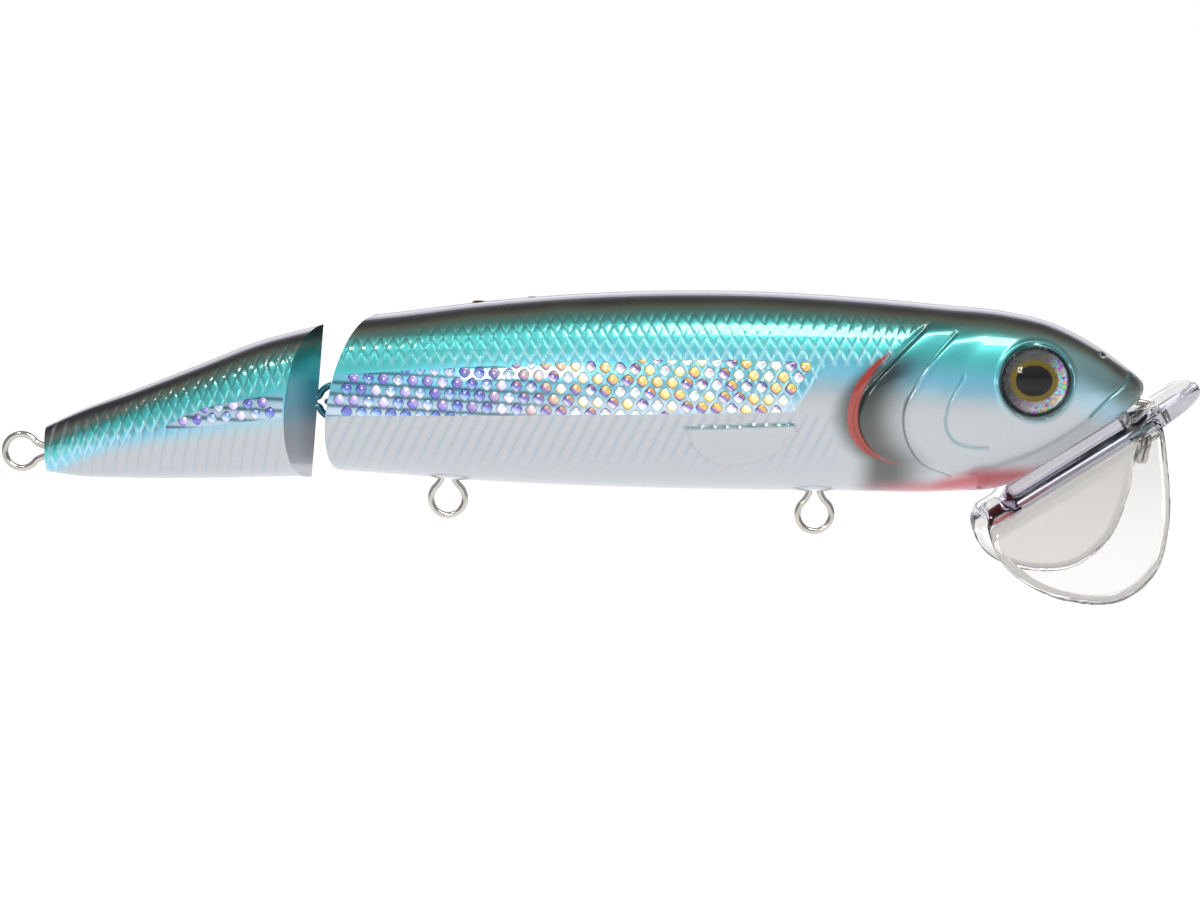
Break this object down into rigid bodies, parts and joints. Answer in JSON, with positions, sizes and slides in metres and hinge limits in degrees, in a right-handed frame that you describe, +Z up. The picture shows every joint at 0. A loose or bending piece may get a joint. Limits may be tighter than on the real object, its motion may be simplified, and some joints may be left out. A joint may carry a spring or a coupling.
{
  "type": "jointed fishing lure",
  "caption": "Jointed hard fishing lure: hollow fish-shaped body and swinging tail linked by wire eyes, with a clear scoop lip and hook eyes.",
  "frame": {"origin": "centre of the line-tie eye under the nose", "axes": "+X forward out of the nose, +Y to the fish's left, +Z up to the back; the halves mirror on Y = 0"},
  "size_m": [0.1996, 0.0452, 0.0497],
  "materials": {
    "painted_shell": "glossy clear coat over teal, black and pearl paint",
    "holo_foil": "embossed holographic foil under the clear coat",
    "lip_clear": "clear moulded polycarbonate, polished",
    "eye_clear": "clear domed resin",
    "iris_print": "printed iris on holographic glitter film",
    "wire_steel": "bright stainless wire",
    "painted_wire": "stainless wire with teal overspray",
    "ballast_brass": "plain turned weight",
    "rattle_steel": "polished bearing balls",
    "pin_brass": "dark aged brass"
  },
  "bodies": {
    "front_body": {"body_shell_left": "painted_shell", "body_shell_right": "painted_shell", "holo_foil_left": "holo_foil", "holo_foil_right": "holo_foil", "lip": "lip_clear", "line_tie_eye": "wire_steel", "front_hook_hanger": "wire_steel", "rear_hook_hanger": "wire_steel", "body_joint_eye": "painted_wire", "eye_disc_left": "iris_print", "eye_disc_right": "iris_print", "eye_lens_left": "eye_clear", "eye_lens_right": "eye_clear", "front_ballast": "ballast_brass", "rear_ballast": "ballast_brass", "back_pin_front": "pin_brass", "back_pin_rear": "pin_brass"},
    "tail": {"tail_shell_left": "painted_shell", "tail_shell_right": "painted_shell", "tail_foil_left": "holo_foil", "tail_foil_right": "holo_foil", "tail_joint_eye": "painted_wire", "tail_hook_hanger": "wire_steel", "tail_ballast": "ballast_brass"},
    "split_ring": {"split_ring": "wire_steel"},
    "rattle": {"rattle_balls": "rattle_steel"}
  },
  "joints": [
    {"name": "tail_swing", "type": "hinge", "parent": "front_body", "child": "tail", "pos_m": [-0.13283, 0, 0.00317], "axis": [0, 0, 1], "range_deg": [-35, 35]},
    {"name": "split_ring_swing", "type": "hinge", "parent": "front_body", "child": "split_ring", "pos_m": [0, 0, 0], "axis": [0, -1, 0], "range_deg": [-8, 65]},
    {"name": "rattle_slide", "type": "slide", "parent": "front_body", "child": "rattle", "axis": [1, 0, 0], "range_m": [-0.0018, 0.0018]}
  ]
}
